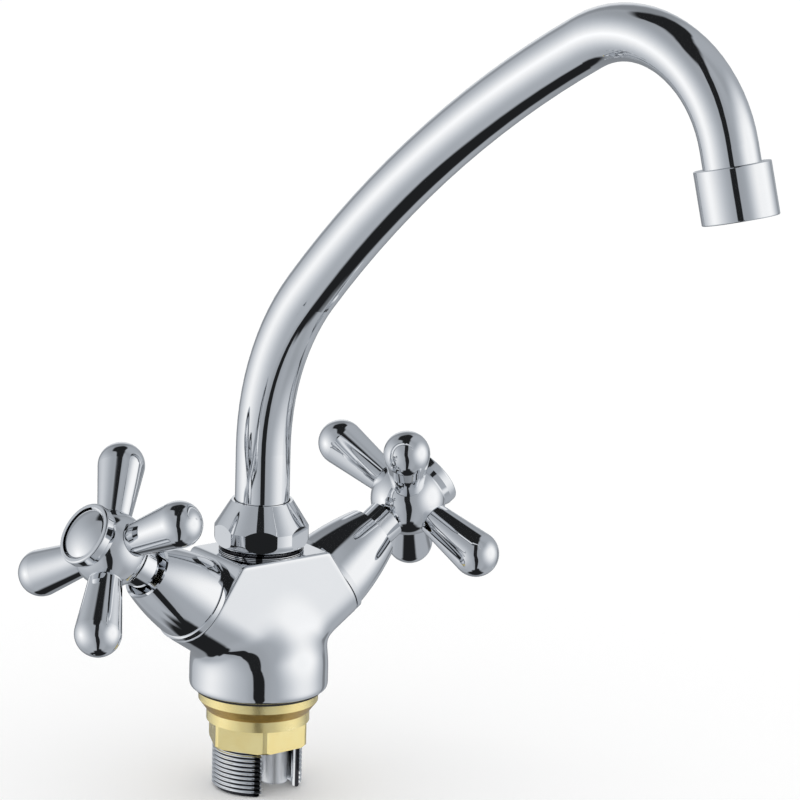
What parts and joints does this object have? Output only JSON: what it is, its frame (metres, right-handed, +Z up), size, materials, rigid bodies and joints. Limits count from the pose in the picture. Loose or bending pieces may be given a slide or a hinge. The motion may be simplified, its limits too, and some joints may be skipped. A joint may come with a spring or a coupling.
{
  "type": "kitchen mixer tap",
  "caption": "Deck-mounted two-handle kitchen mixer tap with cross handles, a tall swivel spout, a threaded shank and a brass locknut.",
  "frame": {"origin": "Centre of the body's underside, where the tap stands on the sink or worktop, on the axis of the tap hole.", "axes": "+Z up out of the sink or worktop along the shank's axis, -Y towards the user (front), hot handle towards -X and cold handle towards +X."},
  "size_m": [0.1782, 0.264, 0.312],
  "materials": {
    "polished_chrome": "mirror-polished chrome plate",
    "raw_brass": "turned, unplated brass",
    "black_rubber": "smooth moulded rubber",
    "white_plastic": "moulded plastic",
    "stainless_steel": "turned stainless steel",
    "white_ceramic": "lapped ceramic"
  },
  "bodies": {
    "tap_body": {"body_casting": "polished_chrome", "threaded_shank": "polished_chrome", "hot_inlet_tube": "polished_chrome", "cold_inlet_tube": "polished_chrome", "base_gasket": "black_rubber", "cone_washer": "raw_brass", "brass_locknut": "raw_brass", "spout_nut": "polished_chrome", "spout_slip_ring": "white_plastic", "retaining_washer": "stainless_steel", "hot_seat_seal": "black_rubber", "hot_fixed_disc": "white_ceramic", "hot_cartridge_body": "raw_brass", "hot_flange_seal": "white_plastic", "hot_shroud": "polished_chrome", "cold_seat_seal": "black_rubber", "cold_fixed_disc": "white_ceramic", "cold_cartridge_body": "raw_brass", "cold_flange_seal": "white_plastic", "cold_shroud": "polished_chrome"},
    "spout": {"spout_tube": "polished_chrome", "spout_tail": "raw_brass", "spout_o_rings": "black_rubber", "outlet_sleeve": "polished_chrome", "aerator_seal": "black_rubber", "aerator_body": "white_plastic", "aerator_screen": "stainless_steel"},
    "hot_handle": {"hot_handle_hub": "polished_chrome", "hot_handle_arms": "polished_chrome", "hot_index_cap": "polished_chrome", "hot_handle_screw": "stainless_steel", "hot_spindle": "stainless_steel", "hot_spindle_o_rings": "black_rubber", "hot_spindle_clip": "stainless_steel", "hot_moving_disc": "white_ceramic"},
    "cold_handle": {"cold_handle_hub": "polished_chrome", "cold_handle_arms": "polished_chrome", "cold_index_cap": "polished_chrome", "cold_handle_screw": "stainless_steel", "cold_spindle": "stainless_steel", "cold_spindle_o_rings": "black_rubber", "cold_spindle_clip": "stainless_steel", "cold_moving_disc": "white_ceramic"}
  },
  "joints": [
    {"name": "spout_swivel", "type": "hinge", "parent": "tap_body", "child": "spout", "pos_m": [0, 0, 0.0603], "axis": [0, 0, 1], "continuous": true},
    {"name": "hot_valve", "type": "hinge", "parent": "tap_body", "child": "hot_handle", "pos_m": [-0.06499, 0, 0.06071], "axis": [-0.8321, 0, 0.5546], "range_deg": [0, 180]},
    {"name": "cold_valve", "type": "hinge", "parent": "tap_body", "child": "cold_handle", "pos_m": [0.06499, 0, 0.06071], "axis": [0.8321, 0, 0.5546], "range_deg": [0, 180]}
  ]
}
